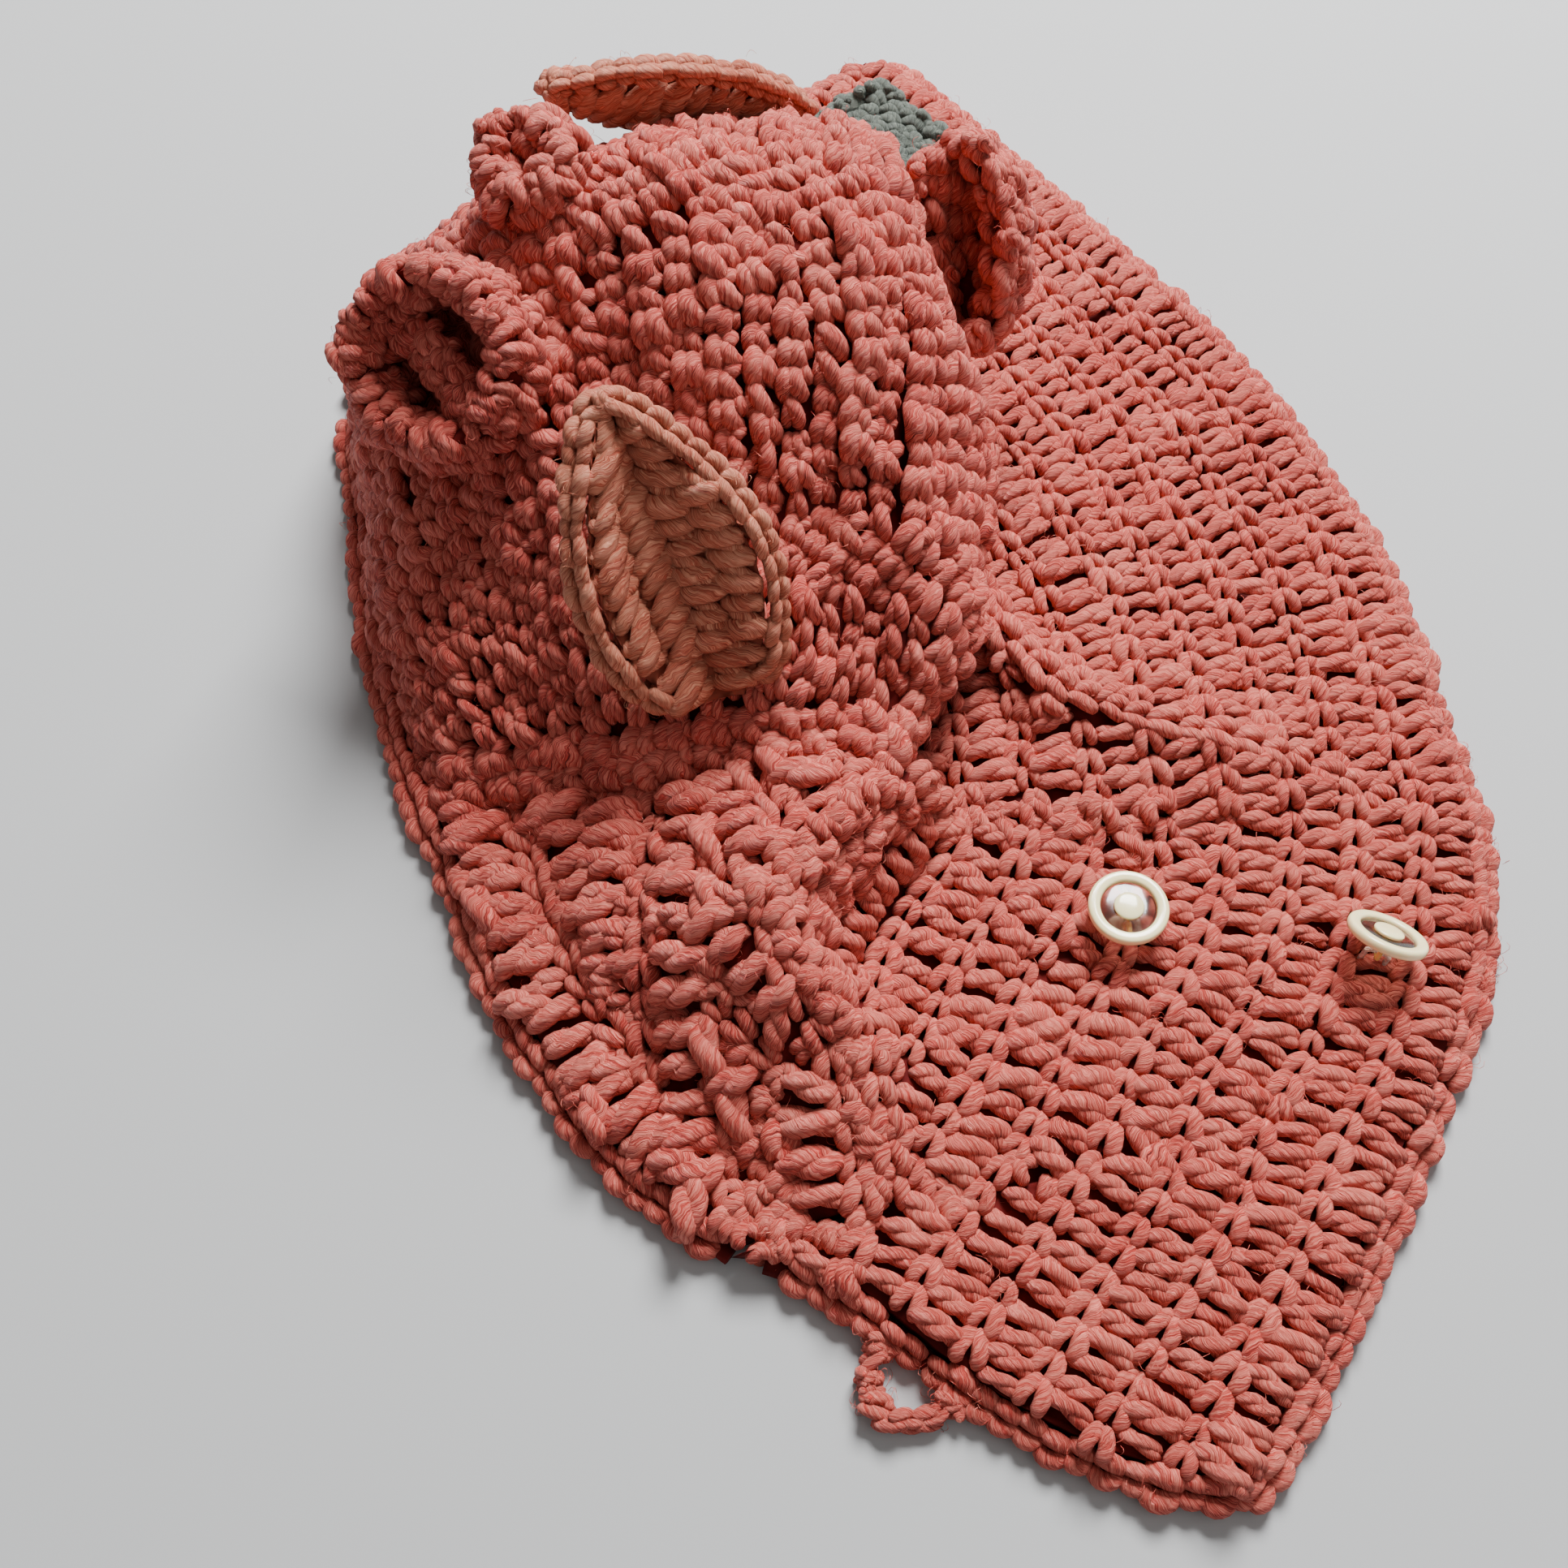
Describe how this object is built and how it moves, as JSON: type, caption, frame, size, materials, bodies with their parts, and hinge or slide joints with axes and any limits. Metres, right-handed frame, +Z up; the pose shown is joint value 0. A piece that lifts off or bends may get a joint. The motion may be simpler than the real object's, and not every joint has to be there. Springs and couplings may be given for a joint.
{
  "type": "crocheted animal hood",
  "caption": "Chunky crocheted animal hood with a buttoned cape collar, two leaf-shaped ears and two soft horns, laid open on its side.",
  "frame": {"origin": "on the floor under the middle of the cape's outline", "axes": "+Y along the cape's length towards its back corner, +X towards the face opening and the buttons, +Z up from the floor it lies on"},
  "size_m": [0.3438, 0.5016, 0.1215],
  "materials": {
    "coral yarn": "bulky two-ply acrylic yarn with a soft sheen, coral",
    "peach yarn": "the ears' paler, dustier coral yarn",
    "grey yarn": "dark green-grey yarn",
    "cream plastic": "polished cream resin",
    "clear plastic": "clear amber resin",
    "white thread": "off-white sewing thread"
  },
  "bodies": {
    "cape": {"hood_shell": "coral yarn", "hood_brim": "coral yarn", "brim_curl": "coral yarn", "left_panel": "coral yarn", "front_flap": "coral yarn", "back_panel": "coral yarn", "grey_patch": "grey yarn", "edge_chain_right": "coral yarn", "edge_chain_left": "coral yarn", "edge_chain_back": "coral yarn", "horn_near": "coral yarn", "horn_far": "coral yarn"},
    "corner": {"front_corner": "coral yarn", "edge_chain_corner": "coral yarn", "button_loop": "coral yarn"},
    "near_ear": {"ear_near": "peach yarn", "ear_near_edge": "peach yarn"},
    "far_ear": {"ear_far": "peach yarn", "ear_far_edge": "peach yarn"},
    "tie_1": {"thread_tie_1": "white thread"},
    "button_1": {"button_1_rim": "cream plastic", "button_1_disc": "clear plastic", "button_1_boss": "cream plastic", "button_1_shank": "clear plastic"},
    "tie_2": {"thread_tie_2": "white thread"},
    "button_2": {"button_2_rim": "cream plastic", "button_2_disc": "clear plastic", "button_2_boss": "cream plastic", "button_2_shank": "clear plastic"}
  },
  "joints": [
    {"name": "corner_fold", "type": "hinge", "parent": "cape", "child": "corner", "pos_m": [-0.042, -0.196, 0.009], "axis": [-0.9701, -0.2425, 0], "range_deg": [0, 80]},
    {"name": "near_ear_flop", "type": "hinge", "parent": "cape", "child": "near_ear", "pos_m": [-0.04427, -0.05727, 0.04163], "axis": [0.9566, 0.2673, 0.1162], "range_deg": [0, 45]},
    {"name": "far_ear_flop", "type": "hinge", "parent": "cape", "child": "far_ear", "pos_m": [-0.02189, 0.13653, 0.06786], "axis": [-0.5696, 0.5388, -0.6206], "range_deg": [0, 45]},
    {"name": "button_1_swivel", "type": "hinge", "parent": "cape", "child": "tie_1", "pos_m": [0.066, -0.105, 0.0132], "axis": [0, 0, 1], "range_deg": [-40, 40]},
    {"name": "button_1_tilt", "type": "hinge", "parent": "tie_1", "child": "button_1", "pos_m": [0.066, -0.105, 0.0132], "axis": [1, 0, 0], "range_deg": [-18, 18]},
    {"name": "button_2_swivel", "type": "hinge", "parent": "cape", "child": "tie_2", "pos_m": [0.132, -0.117, 0.0175], "axis": [0, 0, 1], "range_deg": [-40, 40]},
    {"name": "button_2_tilt", "type": "hinge", "parent": "tie_2", "child": "button_2", "pos_m": [0.132, -0.117, 0.0175], "axis": [0.9063, -0.4226, 0], "range_deg": [-6, 40]}
  ]
}
